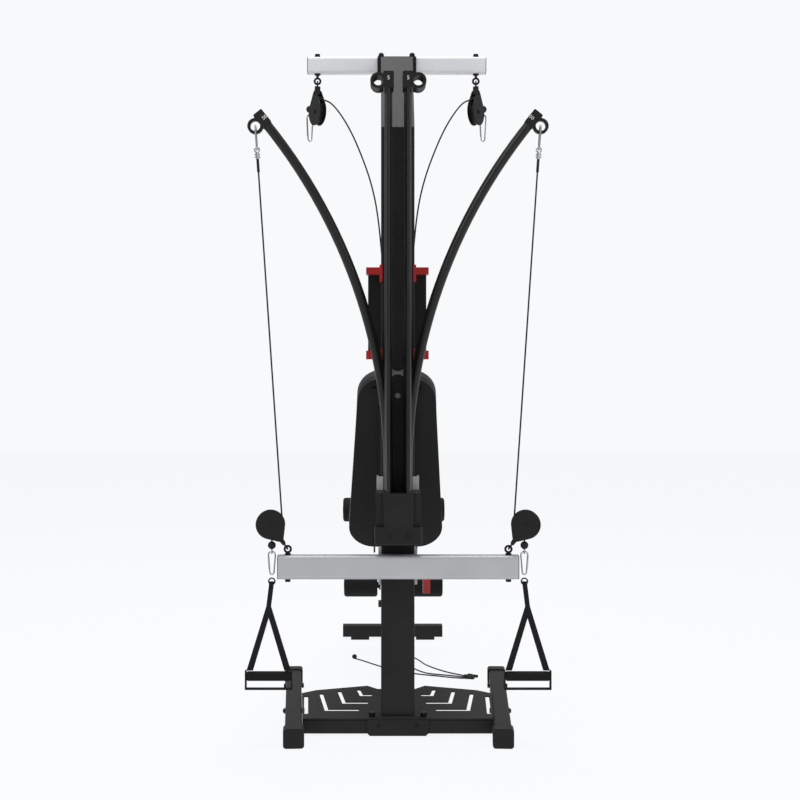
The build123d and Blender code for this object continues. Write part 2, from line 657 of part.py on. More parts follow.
# ------------------------------------------------------------------ upper pulleys and cables
LAT_C_Z = 1871
LAT_TURN = 62.3
LAT_EYE_Z = LAT_BAR_Z[0] - 14 - EYE_R
LAT_STOP_U, LAT_STOP_UP = -56, 17
LAT_HOOK_LEN = 82
RACK_X, RACK_Y, RACK_Z = 88, (-552, -544), (1127, 1355)
FLANGE_X, FLANGE_Y = 93.5, (-600, -536)
CLIP_WALL = 4.7

# Free part of an upper cable, from the sheave to the lower clip: distance from the centre, Y and Z
LAT_ROUTE = [
    (223, -473, 1900),
    (199, -505, 1884),
    (168, -528, 1842),
    (137, -545, 1786),
    (110, -557, 1722),
    (86, -568, 1656),
    (68, -580, 1588),
    (57, -592, 1519),
    (50, -602, 1450),
    (44, -608, 1381),
    (38, -611, 1312),
    (35, -612, 1243),
    (33, -611, 1180),
    (34, -612, 1132),
]

for side_name, side in SIDES.items():
    turn = math.radians(LAT_TURN)
    inward = Vector(-side * math.cos(turn), -math.sin(turn), 0)
    centre = Vector(side * LAT_EYE_X, LAT_MID_Y, LAT_C_Z)
    plane = pulley_plane(tuple(centre), tuple(inward))
    with BuildPart() as lat_block:
        pulley_block(plane, (0, LAT_EYE_Z - LAT_C_Z))
    finish(lat_block, f"lat_block_{side_name}")
    with BuildPart() as lat_sheave:
        sheave(plane)
    finish(lat_sheave, f"lat_sheave_{side_name}")

    stop = centre + inward * LAT_STOP_U + UP * LAT_STOP_UP
    first = Vector(side * LAT_ROUTE[0][0], LAT_ROUTE[0][1], LAT_ROUTE[0][2])
    crown = centre + UP * (CABLE_PATH_R * 1.075)
    start = stop + (crown - stop).normalized() * (STOP_R - 1)
    route = [start, crown] + [Vector(side * x, y, z) for x, y, z in LAT_ROUTE]
    radii = corner_radii([tuple(p) for p in route])
    radii[0] = CABLE_PATH_R
    across = tuple(inward.cross(UP))
    with BuildPart() as lat_cable:
        cable_tube(route, radii, f"lat_cable_{side_name}")
        ball(tuple(stop), STOP_R)
        ring(stop - UP * (STOP_R + 6), across, 7, 1.8)
    finish(lat_cable, f"lat_cable_{side_name}")

    with BuildPart() as lat_hook:
        snap_hook(down_plane(tuple(stop - UP * (STOP_R + 6.5)), across), 10, 6, LAT_HOOK_LEN, 2.2)
    finish(lat_hook, f"lat_hook_{side_name}")

# ------------------------------------------------------------------ media rack
with BuildPart() as rack:
    slab((-RACK_X, RACK_X), RACK_Y, RACK_Z)
    for side in SIDES.values():
        slab(span(side, RACK_X - 5, RACK_X), (RACK_Y[1], -500), (RACK_Z[0], RACK_Z[0] + 120))
    slab((-RACK_X, RACK_X), (RACK_Y[1], -500), (RACK_Z[0], RACK_Z[0] + 6))
    slab((-RACK_X, RACK_X), (-505, -500), (RACK_Z[0], RACK_Z[0] + 34))
finish(rack, "media_rack")

with BuildPart() as clips:
    for flange, wall in (((1355, 1376), (1327, 1377)), ((1101, 1127), (1084, 1132))):
        slab((-FLANGE_X, FLANGE_X), FLANGE_Y, flange)
        for side in SIDES.values():
            slab(span(side, HALF_W + 0.3, HALF_W + CLIP_WALL), (TOWER_NEAR_Y - 4, FLANGE_Y[0]), wall)
            slab(span(side, 45, HALF_W + CLIP_WALL), (TOWER_NEAR_Y - 4, TOWER_NEAR_Y - 0.3), wall)
    for side in SIDES.values():
        slab(span(side, 24, HALF_W + CLIP_WALL), (-626, FLANGE_Y[0]), (1108, 1132))
finish(clips, "rack_clips")

# ------------------------------------------------------------------ seat rail
RAIL = Plane(
    origin=(0, RAIL_START_Y, RAIL_TOP_AT_START),
    x_dir=(1, 0, 0),
    z_dir=(0, math.sin(math.radians(RAIL_SLOPE)), math.cos(math.radians(RAIL_SLOPE))),
)
RAIL_LEN = RAIL_END_Y - RAIL_START_Y


def rail_slab(x, along, up, mode=Mode.ADD):
    """Box in the rail's own directions: across, along the rail and up from its top face."""
    centre = tuple((low + high) / 2 for low, high in (x, along, up))
    sizes = [high - low for low, high in (x, along, up)]
    with Locations(RAIL.location * Pos(*centre)):
        return Box(*sizes, mode=mode)


def rail_along(y):
    """Distance along the rail at a given Y."""
    return (y - RAIL_START_Y) / math.cos(math.radians(RAIL_SLOPE))


def rail_top(y):
    """Height of the rail's top face at a given Y."""
    return RAIL_TOP_AT_START - (y - RAIL_START_Y) * math.tan(math.radians(RAIL_SLOPE))


PIVOT_Y = 470
PIVOT_Z = rail_top(PIVOT_Y) - RAIL_H / 2
with BuildPart() as rail:
    rail_slab((-RAIL_W / 2, RAIL_W / 2), (0, RAIL_LEN), (-RAIL_H, 0))
    fillet(rail.edges().filter_by(Plane.YZ).sort_by(SortBy.LENGTH)[-4:], 4)
    rail_slab((-RAIL_W / 2 + 4, RAIL_W / 2 - 4), (0, RAIL_LEN), (4 - RAIL_H, -4), Mode.SUBTRACT)
    bar((-RAIL_W, PIVOT_Y, PIVOT_Z), (RAIL_W, PIVOT_Y, PIVOT_Z), 8.05, Mode.SUBTRACT)
finish(rail, "seat_rail")

LEG_W = 50
with BuildPart() as front_leg:
    with BuildSketch(Plane.YZ.offset(-LEG_W / 2)):
        with BuildLine():
            Polyline(
                (630, rail_top(630) - RAIL_H - 0.1),
                (684, rail_top(684) - RAIL_H - 0.1),
                (FOOT_Y[1], FOOT_Z[1]),
                (FOOT_Y[0], FOOT_Z[1]),
                close=True,
            )
        make_face()
    extrude(amount=LEG_W)
    slab((-FOOT_X, FOOT_X), FOOT_Y, FOOT_Z)
    slab((-22, 22), (735, 790), (80, 100))
    for side in SIDES.values():
        slab(span(side, 93, 165), (FOOT_Y[0] + 2, FOOT_Y[1] - 2), (0, FOOT_Z[0]))
finish(front_leg, "front_leg")

# ------------------------------------------------------------------ seat and backrest
HINGE_Y, HINGE_Z, HINGE_R, EAR_X = 0, 490, 4, 60
TAB_GAP, TAB_T = 7, 6
TAB_KNEE, TAB_END = (-95, 466, 7), (-128, 496, 10)
SEAT_FROM, SEAT_TO = rail_along(34), rail_along(34 + SEAT_LEN)
with BuildPart() as seat_board:
    rail_slab((-130, 130), (SEAT_FROM + 10, SEAT_TO - 10), (14, 26))
    rail_slab((-50, 50), (SEAT_FROM + 40, SEAT_TO - 40), (1, 14))
    for side in SIDES.values():
        rail_slab(span(side, RAIL_W / 2 + 1, RAIL_W / 2 + 6), (SEAT_FROM + 60, SEAT_TO - 60), (-30, 14))
        slab(span(side, EAR_X, EAR_X + 6), (HINGE_Y - 10, 24), (HINGE_Z - 11, HINGE_Z + 11))
        slab(span(side, EAR_X, EAR_X + 6), (23, 70), (HINGE_Z - 11, HINGE_Z + 1))
        bar((side * EAR_X, HINGE_Y, HINGE_Z), (side * (EAR_X + 16), HINGE_Y, HINGE_Z), HINGE_R)
finish(seat_board, "seat_board")

with BuildPart() as seat_cushion:
    rail_slab((-SEAT_W / 2, SEAT_W / 2), (SEAT_FROM, SEAT_TO), (26, 74))
    fillet(seat_cushion.edges().group_by(Axis.Z)[-1], 14)
finish(seat_cushion, "seat_cushion")

lean = math.radians(BACK_LEAN)
BOARD_INSET, BOARD_T = 4, 15
back_normal = (0, math.cos(lean), math.sin(lean))
BACK = Plane(origin=(0, BACK_FOOT_Y, BACK_FOOT_Z), x_dir=(-1, 0, 0), z_dir=back_normal)


def back_outline(inset):
    """Tall tapered outline of the backrest with a broad round top, drawn inwards by an inset."""
    foot, top = BACK_W_FOOT / 2 - inset, BACK_W_TOP / 2 - inset
    with BuildSketch(BACK) as outline:
        with BuildLine():
            high = BACK_LEN - inset
            Polyline((-foot, inset), (foot, inset), (top, high), (-top, high), close=True)
        make_face()
        fillet(outline.vertices().group_by(Axis.Z)[-1], 88 - inset)
    return outline.sketch


with BuildPart() as back_board:
    extrude(back_outline(BOARD_INSET), amount=-BOARD_T)
    for side in SIDES.values():
        with Locations(BACK.location * Pos(side * 52, BACK_LEN - 260, -21)):
            Box(8, 300, 12)
        start = EAR_X + TAB_GAP if side > 0 else -EAR_X - TAB_GAP - TAB_T
        for first, second in (((HINGE_Y, HINGE_Z, 9), TAB_KNEE), (TAB_KNEE, TAB_END)):
            with BuildSketch(Plane.YZ.offset(start)):
                for y, z, radius in (first, second):
                    with Locations((y, z)):
                        Circle(radius)
                make_hull()
            extrude(amount=TAB_T)
        near, far = (side * EAR_X, HINGE_Y, HINGE_Z), (side * (EAR_X + 20), HINGE_Y, HINGE_Z)
        bar(near, far, HINGE_R + RUNNING, Mode.SUBTRACT)
finish(back_board, "back_board")

with BuildPart() as back_cushion:
    extrude(back_outline(0), amount=48)
    fillet(back_cushion.edges().filter_by(lambda e: BACK.to_local_coords(e).center().Z > 47), 16)
finish(back_cushion, "back_cushion")

# ------------------------------------------------------------------ leg station
STUB_R, ROLL_START = 12, 60
with BuildPart() as roller_post:
    for side in SIDES.values():
        cheek = span(side, RAIL_W / 2 + 1, RAIL_W / 2 + 6)
        slab(cheek, (UPPER_ROLLER_Y - 18, UPPER_ROLLER_Y + 12), (410, UPPER_ROLLER_Z + 16))
    bar((-188, UPPER_ROLLER_Y, UPPER_ROLLER_Z), (188, UPPER_ROLLER_Y, UPPER_ROLLER_Z), STUB_R)
finish(roller_post, "roller_post")

ARM_IN, ARM_OUT = 48, 54
with BuildPart() as leg_arm:
    for side in SIDES.values():
        start = ARM_IN if side > 0 else -ARM_OUT
        with BuildSketch(Plane.YZ.offset(start)) as arm_plate:
            with Locations((PIVOT_Y, PIVOT_Z)):
                Circle(22)
            with Locations((LOWER_ROLLER_Y, LOWER_ROLLER_Z)):
                Circle(18)
            make_hull()
        extrude(amount=ARM_OUT - ARM_IN)
        stub = (side * ARM_IN, LOWER_ROLLER_Y, LOWER_ROLLER_Z)
        bar(stub, (side * 188, LOWER_ROLLER_Y, LOWER_ROLLER_Z), STUB_R)
    bar((-ARM_OUT - 4, PIVOT_Y, PIVOT_Z), (ARM_OUT + 4, PIVOT_Y, PIVOT_Z), 8)
finish(leg_arm, "leg_arm")

for name, y, z in (
    ("upper_rollers", UPPER_ROLLER_Y, UPPER_ROLLER_Z),
    ("lower_rollers", LOWER_ROLLER_Y, LOWER_ROLLER_Z),
):
    with BuildPart() as rollers:
        for side in SIDES.values():
            bar((side * ROLL_START, y, z), (side * 187, y, z), ROLLER_R)
            bar((side * ROLL_START, y, z), (side * 187, y, z), STUB_R + RUNNING, Mode.SUBTRACT)
        fillet(rollers.edges().filter_by(GeomType.CIRCLE).filter_by(lambda e: e.radius > 30), 8)
    finish(rollers, name)

KNOB_Y, KNOB_Z = 779, 146
with BuildPart() as knob:
    shank, face = -LEG_W / 2 - 12, -LEG_W / 2
    bar((face, KNOB_Y, KNOB_Z), (shank, KNOB_Y, KNOB_Z), 7)
    bar((shank, KNOB_Y, KNOB_Z), (shank - 20, KNOB_Y, KNOB_Z), 14)
finish(knob, "lock_knob")

LEVER_Y, LEVER_Z = -600, 462
with BuildPart() as lever:
    bar((57.5, LEVER_Y, LEVER_Z), (76, LEVER_Y, LEVER_Z), 9)
    slab((76, 98), (LEVER_Y - 10, LEVER_Y + 10), (402, LEVER_Z + 8))
    fillet(lever.edges().filter_by(Axis.X).group_by(Axis.Z)[0], 6)
finish(lever, "rail_lever")

# ------------------------------------------------------------------ cables that lie on the floor
LOW = CABLE_D / 2 + 0.1
FLOOR_BALL_R = 9
FLOOR_ROUTES = [
    [(12, 735, 90), (12, 700, 88), (14, 652, 72), (20, 600, 40), (31, 544, 13), (50, 485, LOW),
     (80, 420, LOW), (97, 365, LOW), (112, 305, LOW), (138, 250, LOW), (168, 200, LOW),
     (198, 160, LOW), (229, 130, LOW), (256, 104, LOW)],
    [(-12, 735, 90), (-12, 700, 88), (-11, 652, 71), (-7, 598, 38), (2, 541, 12), (13, 478, LOW),
     (26, 415, LOW), (38, 350, LOW), (54, 285, LOW), (74, 225, LOW), (94, 184, LOW),
     (119, 150, LOW), (165, 132, LOW), (209, 112, LOW), (243, 92, LOW)],
    [(-140, 410, LOW), (-115, 378, LOW), (-83, 324, LOW), (-47, 270, LOW), (-10, 212, LOW),
     (28, 176, LOW), (71, 150, LOW), (105, 130, LOW), (140, 116, LOW), (175, 98, LOW),
     (207, 82, LOW), (237, 74, LOW)],
]
with BuildPart() as floor_cables:
    for number, route in enumerate(FLOOR_ROUTES):
        cable_tube(route, corner_radii(route), f"floor cable {number}")
finish(floor_cables, "floor_cables")

with BuildPart() as cable_clips:
    for (x, y), (end_x, end_y) in (((256, 104), (284, 86)), ((243, 92), (272, 72)), ((237, 74), (268, 58))):
        way = Vector(end_x - x, end_y - y).normalized()
        bar((x, y, 7), (x + way.X * 14, y + way.Y * 14, 7), 6)
        with BuildSketch(Plane.XY.offset(3)) as plate:
            with Locations((x + way.X * 20, y + way.Y * 20)):
                Circle(6.5)
            with Locations((end_x, end_y)):
                Circle(5)
            make_hull()
            with Locations((end_x - way.X * 7, end_y - way.Y * 7)):
                Circle(2.6, mode=Mode.SUBTRACT)
        extrude(plate.sketch, amount=8)
    ball((-145, 416, FLOOR_BALL_R), FLOOR_BALL_R)
finish(cable_clips, "cable_clips")
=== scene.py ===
"""Flexible-rod home gym: materials, cables, foam and cushions around its CAD frame."""

import json
import logging
import math
from dataclasses import dataclass
from enum import Enum

import bpy
import numpy as np
from mathutils import Matrix, Vector

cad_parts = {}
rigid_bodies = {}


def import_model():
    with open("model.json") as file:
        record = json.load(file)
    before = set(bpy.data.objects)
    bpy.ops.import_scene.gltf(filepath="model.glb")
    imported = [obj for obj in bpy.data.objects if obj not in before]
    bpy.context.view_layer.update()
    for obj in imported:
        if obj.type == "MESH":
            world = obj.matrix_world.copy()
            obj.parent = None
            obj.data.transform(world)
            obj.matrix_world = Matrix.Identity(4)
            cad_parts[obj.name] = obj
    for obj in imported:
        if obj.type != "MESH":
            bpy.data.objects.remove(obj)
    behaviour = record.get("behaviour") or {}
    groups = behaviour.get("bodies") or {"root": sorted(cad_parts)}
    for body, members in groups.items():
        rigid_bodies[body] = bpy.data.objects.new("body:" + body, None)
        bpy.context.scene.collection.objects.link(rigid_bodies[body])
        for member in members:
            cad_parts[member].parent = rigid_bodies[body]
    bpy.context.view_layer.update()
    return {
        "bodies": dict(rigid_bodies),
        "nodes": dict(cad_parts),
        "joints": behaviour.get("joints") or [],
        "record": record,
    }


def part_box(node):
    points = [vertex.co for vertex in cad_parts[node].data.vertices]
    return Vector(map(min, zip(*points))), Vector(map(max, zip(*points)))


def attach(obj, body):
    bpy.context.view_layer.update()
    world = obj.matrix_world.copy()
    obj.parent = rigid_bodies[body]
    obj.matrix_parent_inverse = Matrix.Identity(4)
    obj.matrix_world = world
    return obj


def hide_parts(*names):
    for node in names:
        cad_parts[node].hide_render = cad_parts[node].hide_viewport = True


LOG = logging.getLogger("home_gym")

# Lengths are in metres; places with an x are the right-hand side's, mirrored for the left
SIDES = {"left": -1, "right": 1}

# Relief and colour of the materials
BRUSHED_STRETCH = (1.0, 0.04, 1.0)
WEAVE_DISTORTION = 0.4
DRIFT_SCALE = 7.0
RAMP_LOW, RAMP_HIGH = 0.38, 0.62
ROUGH_LOW, ROUGH_HIGH = 0.88, 1.12
BUMP_DISTANCE = 0.0006

# Cables, their stop balls, rings and sleeves
CABLE_D = 0.0048
CABLE_PATH_R = 0.0344
CROWN_LIFT = 1.075
STOP_R, STOP_SINK = 0.0115, 0.001
RING_R, RING_WIRE, RING_DROP = 0.007, 0.0018, 0.006
SLEEVE_R, SLEEVE_EDGE = 0.004, 0.001
CLAMP_TO, SLEEVE_TO = 0.097, 0.135
LAT_TURN = math.radians(62.3)
LAT_CENTRE = (0.246, -0.4295, 1.871)
LAT_STOP_ALONG, LAT_STOP_UP = -0.056, 0.017
CHEST_CENTRE = (0.368, -0.753, 0.624)
CHEST_STOP = (0.364, -0.753, 0.564)
LEAVE_ANGLE = math.radians(50)
ROD_RING = (0.414507, -0.716, 1.777776)

# Free part of an upper cable, from its wheel to the lower clip, in metres, for the right-hand side
LAT_ROUTE = [
    (0.223, -0.473, 1.900),
    (0.199, -0.505, 1.884),
    (0.168, -0.528, 1.842),
    (0.137, -0.545, 1.786),
    (0.110, -0.557, 1.722),
    (0.086, -0.568, 1.656),
    (0.068, -0.580, 1.588),
    (0.057, -0.592, 1.519),
    (0.050, -0.602, 1.450),
    (0.044, -0.608, 1.381),
    (0.038, -0.611, 1.312),
    (0.035, -0.612, 1.243),
    (0.033, -0.611, 1.180),
    (0.034, -0.612, 1.132),
]
# Routes of the loose cables, from the front leg or from the clips, resting a hair above the floor
LOW = CABLE_D / 2 + 0.0001
FLOOR_ROUTES = [
    [(0.012, 0.735, 0.090), (0.012, 0.700, 0.088), (0.014, 0.652, 0.072), (0.020, 0.600, 0.040),
     (0.031, 0.544, 0.013), (0.050, 0.485, LOW), (0.080, 0.420, LOW), (0.097, 0.365, LOW),
     (0.112, 0.305, LOW), (0.138, 0.250, LOW), (0.168, 0.200, LOW), (0.198, 0.160, LOW),
     (0.229, 0.130, LOW), (0.256, 0.104, LOW)],
    [(-0.012, 0.735, 0.090), (-0.012, 0.700, 0.088), (-0.011, 0.652, 0.071), (-0.007, 0.598, 0.038),
     (0.002, 0.541, 0.012), (0.013, 0.478, LOW), (0.026, 0.415, LOW), (0.038, 0.350, LOW),
     (0.054, 0.285, LOW), (0.074, 0.225, LOW), (0.094, 0.184, LOW), (0.119, 0.150, LOW),
     (0.165, 0.132, LOW), (0.209, 0.112, LOW), (0.243, 0.092, LOW)],
    [(0.237, 0.074, LOW), (0.207, 0.082, LOW), (0.175, 0.098, LOW), (0.140, 0.116, LOW),
     (0.105, 0.130, LOW), (0.071, 0.150, LOW), (0.028, 0.176, LOW), (-0.010, 0.212, LOW),
     (-0.047, 0.270, LOW), (-0.083, 0.324, LOW), (-0.115, 0.378, LOW), (-0.140, 0.410, LOW)],
]
FLOOR_LENGTHS = (0.712, 0.761, 0.522)

# Snap hooks
HOOK_DROP = 0.0065
HOOK_WIRE, HOOK_TOP_R, HOOK_FOOT_R = 0.0022, 0.010, 0.006
GRIP_HOOK_LENGTH, LAT_HOOK_LENGTH = 0.066, 0.082

# Foam
ROLLER_START, ROLLER_EDGE, ROLLER_BORE = 0.060, 0.010, 0.0125
GRIP_EDGE = 0.004

# Cushions
CUSHION_VOXEL = 0.006
CUSHION_REACH, CUSHION_SLACK = 0.004, 0.003
CUSHION_PRESSURE = 4.0
CUSHION_FRAMES = 20

# Weight numbers
LIGHT_LABEL_H, HEAVY_LABEL_H = 0.016, 0.015
MARK_GAP, MARK_DEPTH = 0.0004, 0.0003
LIGHT_MARK_X, LIGHT_MARK_DROP = 0.028, 0.020
HEAVY_MARK_X, HEAVY_MARK_Z = 0.387, 1.801
ROD_LEAN = math.radians(39.1)

# Camera and studio
CAMERA_PLACE = (-0.0574, -4.88, 1.069)
CAMERA_SENSOR, CAMERA_LENS = 36.0, 64.44
CAMERA_SHIFT = (0.02725, -0.0375)
FLOOR_REACH = 14.0
PALE = "#f8f9fb"
FLOOR_GLOW, FLOOR_MATT = 0.94, 0.08
SKY_LIGHT, SKY_SEEN = 0.5, 1.0
# Name, place, target, side and watts of each light
LIGHTS = (
    ("key", (-2.6, -4.2, 4.4), (0, 0, 0.9), 2.6, 70),
    ("fill", (3.4, -3.6, 2.6), (0, 0, 0.9), 2.2, 35),
    ("top", (0.0, 0.4, 5.2), (0, 0, 0.6), 3.0, 150),
)


class Pattern(Enum):
    """Kind of fine surface relief a finish carries."""

    GRAIN = "grain"
    FOAM = "foam"
    WEAVE = "weave"
    BRUSHED = "brushed"
    VINYL = "vinyl"


@dataclass(frozen=True)
class Finish:
    """Look of one material: colour, shine and fine relief.

    Args:
        name: Material name.
        colour: sRGB colour as a hex string.
        roughness: Mean roughness.
        metallic: 0 for paint and plastic, 1 for bare metal.
        pattern: Kind of relief.
        scale: Size of the relief's noise, per metre.
        bump: Strength of the relief.
        variation: How far the colour wanders, as a share.
        coat: Clear-coat weight.
        specular: Strength of the reflection of paint and plastic.
    """

    name: str
    colour: str
    roughness: float
    metallic: float = 0.0
    pattern: Pattern = Pattern.GRAIN
    scale: float = 500.0
    bump: float = 0.1
    variation: float = 0.12
    coat: float = 0.0
    specular: float = 0.3


FINISHES = {
    finish.name: finish
    for finish in (
        Finish("black_paint", "#111112", 0.55, scale=260, bump=0.8, variation=0.55),
        Finish("black_tread", "#1a1a1b", 0.6, scale=240, bump=0.6, variation=0.4),
        Finish("dark_bolts", "#1c1c1e", 0.35, metallic=0.6, scale=700, bump=0.06),
        Finish("silver_paint", "#b5b6b8", 0.4, metallic=0.25, scale=500, bump=0.06, variation=0.05),
        Finish("silver_light", "#dadbdd", 0.42, metallic=0.1, scale=500, bump=0.06, variation=0.04),
        Finish("zinc", "#b4b5b8", 0.2, metallic=1.0, scale=300, bump=0.02, variation=0.06),
        Finish("rail_aluminium", "#a6a9ad", 0.3, 1.0, Pattern.BRUSHED, 700, 0.08, 0.08),
        Finish("black_plastic", "#0c0c0d", 0.5, scale=1400, bump=0.12),
        Finish("grey_plastic", "#77797b", 0.45, scale=1400, bump=0.08),
        Finish("cap_plastic", "#101011", 0.5, scale=1300, bump=0.1),
        Finish("red_plastic", "#b30f14", 0.3, scale=900, bump=0.04, coat=0.35),
        Finish("rod_sheath", "#101011", 0.42, scale=1100, bump=0.06, coat=0.15),
        Finish("foam", "#0b0b0c", 0.82, 0.0, Pattern.FOAM, 650, 0.4, 0.2),
        Finish("cable", "#121213", 0.42, scale=1500, bump=0.05, coat=0.1),
        Finish("webbing", "#141416", 0.85, 0.0, Pattern.WEAVE, 900, 0.5, 0.2),
        Finish("grey_vinyl", "#2b2c2e", 0.48, 0.0, Pattern.VINYL, 520, 0.25, 0.1),
        Finish("label", "#d6d8d6", 0.5, scale=900, bump=0.02),
    )
}


def linear(hex_colour: str) -> tuple:
    """Turns an sRGB hex colour into linear RGBA.

    Args:
        hex_colour: Colour such as "#a0b0c0".

    Returns:
        Four floats for a shader socket.
    """
    channels = [int(hex_colour[i : i + 2], 16) / 255 for i in (1, 3, 5)]
    return (*((c / 12.92) if c <= 0.04045 else ((c + 0.055) / 1.055) ** 2.4 for c in channels), 1.0)


def add_node(tree, kind: str, links: dict | None = None, **values):
    """Adds a shader node, sets its properties or sockets and links its inputs.

    Args:
        tree: Node tree.
        kind: Node type without the ShaderNode prefix.
        links: Input name to output socket.
        **values: Property or input names with their values; underscores stand for spaces.

    Returns:
        The new node.
    """
    node = tree.nodes.new("ShaderNode" + kind)
    for key, value in values.items():
        label = key.replace("_", " ")
        if label in node.inputs:
            node.inputs[label].default_value = value
        else:
            setattr(node, key, value)
    for label, socket in (links or {}).items():
        tree.links.new(socket, node.inputs[label])
    return node


def relief(tree, finish: Finish, place):
    """Height signal of a finish, from Object coordinates.

    Args:
        tree: Node tree.
        finish: Finish to draw.
        place: Output socket of the Object coordinates.

    Returns:
        Output socket of the height.
    """
    if finish.pattern is Pattern.BRUSHED:
        place = add_node(tree, "Mapping", {"Vector": place}, Scale=BRUSHED_STRETCH).outputs["Vector"]
    if finish.pattern is Pattern.WEAVE:
        across, along = (
            add_node(tree, "TexWave", {"Vector": place}, bands_direction=way, Scale=finish.scale,
                     Distortion=WEAVE_DISTORTION)
            for way in "XZ"
        )
        mix = {0: across.outputs["Fac"], 1: along.outputs["Fac"]}
        return add_node(tree, "Math", mix, operation="MULTIPLY").outputs[0]
    if finish.pattern is Pattern.VINYL:
        cells = add_node(tree, "TexVoronoi", {"Vector": place}, Scale=finish.scale,
                         feature="DISTANCE_TO_EDGE")
        return cells.outputs["Distance"]
    detail = 6.0 if finish.pattern is Pattern.FOAM else 3.0
    return add_node(tree, "TexNoise", {"Vector": place}, Scale=finish.scale, Detail=detail).outputs["Fac"]


def make_material(finish: Finish):
    """Procedural material of one finish.

    Args:
        finish: Finish to draw.

    Returns:
        The Blender material.
    """
    material = bpy.data.materials.new(finish.name)
    material.use_nodes = True
    tree = material.node_tree
    tree.nodes.clear()
    place = add_node(tree, "TexCoord").outputs["Object"]
    height = relief(tree, finish, place)
    drift = add_node(tree, "TexNoise", {"Vector": place}, Scale=DRIFT_SCALE, Detail=4.0).outputs["Fac"]
    base = linear(finish.colour)
    tone = drift
    if finish.pattern is Pattern.GRAIN:
        both = add_node(tree, "Math", {0: height, 1: drift}, operation="ADD").outputs[0]
        halved = add_node(tree, "Math", {0: both}, operation="MULTIPLY")
        halved.inputs[1].default_value = 0.5
        tone = halved.outputs[0]
    ramp = add_node(tree, "ValToRGB", {"Fac": tone})
    ends = ramp.color_ramp.elements
    ends[0].position, ends[1].position = RAMP_LOW, RAMP_HIGH
    for element, share in zip(ends, (1 - finish.variation, 1 + finish.variation)):
        element.color = (*(min(c * share, 1.0) for c in base[:3]), 1.0)
    rough = add_node(
        tree,
        "MapRange",
        {"Value": drift},
        To_Min=finish.roughness * ROUGH_LOW,
        To_Max=min(finish.roughness * ROUGH_HIGH, 1.0),
    )
    bump = add_node(tree, "Bump", {"Height": height}, Strength=finish.bump, Distance=BUMP_DISTANCE)
    shader = add_node(
        tree,
        "BsdfPrincipled",
        {
            "Base Color": ramp.outputs["Color"],
            "Roughness": rough.outputs["Result"],
            "Normal": bump.outputs["Normal"],
        },
        Metallic=finish.metallic,
        Coat_Weight=finish.coat,
        Specular_IOR_Level=finish.specular,
    )
    add_node(tree, "OutputMaterial", {"Surface": shader.outputs["BSDF"]})
    return material


def add_object(name: str, data):
    """Makes an object of some data and links it to the scene.

    Args:
        name: Object name.
        data: Mesh, curve, text, camera or light.

    Returns:
        The new object.
    """
    obj = bpy.data.objects.new(name, data)
    bpy.context.scene.collection.objects.link(obj)
    return obj


class Workshop:
    """Makes pieces and gives them materials."""

    def __init__(self, frame: dict):
        """Keeps the frame and makes every material.
        """
        self.frame = frame
        self.materials = {name: make_material(finish) for name, finish in FINISHES.items()}

    def dress(self, obj, finish: str):
        """Gives a piece its material.

        Args:
            obj: Piece.
            finish: Finish name.

        Returns:
            The same piece.
        """
        obj.data.materials.clear()
        obj.data.materials.append(self.materials[finish])
        return obj

    def dress_nodes(self) -> None:
        """Gives each CAD node the finish of its record slot."""
        for part in self.frame["record"]["subparts"]:
            self.dress(self.frame["nodes"][part["node"]], part["material_slot"])
        self.dress(self.frame["nodes"]["lat_bar"], "silver_light")
        self.dress(self.frame["nodes"]["eyebolts"], "dark_bolts")

    def mesh(self, name: str, verts, faces, finish: str, smooth: bool = True):
        """Makes a mesh piece from numpy vertices.

        Args:
            name: Piece name.
            verts: Vertex array in metres.
            faces: Lists of vertex numbers.
            finish: Finish name.
            smooth: Shade smooth or flat.

        Returns:
            The new object.
        """
        data = bpy.data.meshes.new(name)
        data.from_pydata(np.asarray(verts, dtype=float).tolist(), [], [list(map(int, f)) for f in faces])
        data.update()
        data.polygons.foreach_set("use_smooth", np.full(len(data.polygons), smooth))
        return self.dress(add_object(name, data), finish)

    def curve(self, name: str, points, diameter: float, finish: str):
        """Makes a round cable along a NURBS curve.

        Args:
            name: Piece name.
            points: Route in metres.
            diameter: Cable diameter in metres.
            finish: Finish name.

        Returns:
            The new curve object.
        """
        data = bpy.data.curves.new(name, "CURVE")
        data.dimensions = "3D"
        data.bevel_depth, data.bevel_resolution, data.resolution_u = diameter / 2, 4, 12
        data.use_fill_caps = True
        spline = data.splines.new("NURBS")
        spline.points.add(len(points) - 1)
        for point, place in zip(spline.points, points):
            point.co = (*place, 1.0)
        spline.order_u = 3
        spline.use_endpoint_u = True
        return self.dress(add_object(name, data), finish)


def lathe(profile, centre, axis, segments: int = 64):
    """Vertices and faces of a turned shape.

    Args:
        profile: (distance along the axis, radius) pairs, a closed loop if it ends where it starts.
        centre: Start of the axis.
        axis: Direction of the axis.
        segments: Steps round the axis.

    Returns:
        Vertex array and face list.
    """
    along = np.asarray(axis, dtype=float)
    along /= np.linalg.norm(along)
    helper = np.array([0.0, 0.0, 1.0]) if abs(along[2]) < 0.9 else np.array([1.0, 0.0, 0.0])
    u = np.cross(helper, along)
    u /= np.linalg.norm(u)
    v = np.cross(along, u)
    turn = np.linspace(0, 2 * math.pi, segments, endpoint=False)
    rim = np.cos(turn)[:, None] * u + np.sin(turn)[:, None] * v
    shape = np.asarray(profile, dtype=float)
    verts = np.asarray(centre) + shape[:, None, :1] * along + shape[:, None, 1:] * rim[None]
    rows = len(shape)
    i, j = np.meshgrid(np.arange(rows - 1), np.arange(segments), indexing="ij")
    nxt = (j + 1) % segments
    a, b = i * segments + j, i * segments + nxt
    faces = np.stack([a, b, b + segments, a + segments], -1).reshape(-1, 4)
    return verts.reshape(-1, 3), faces.tolist()


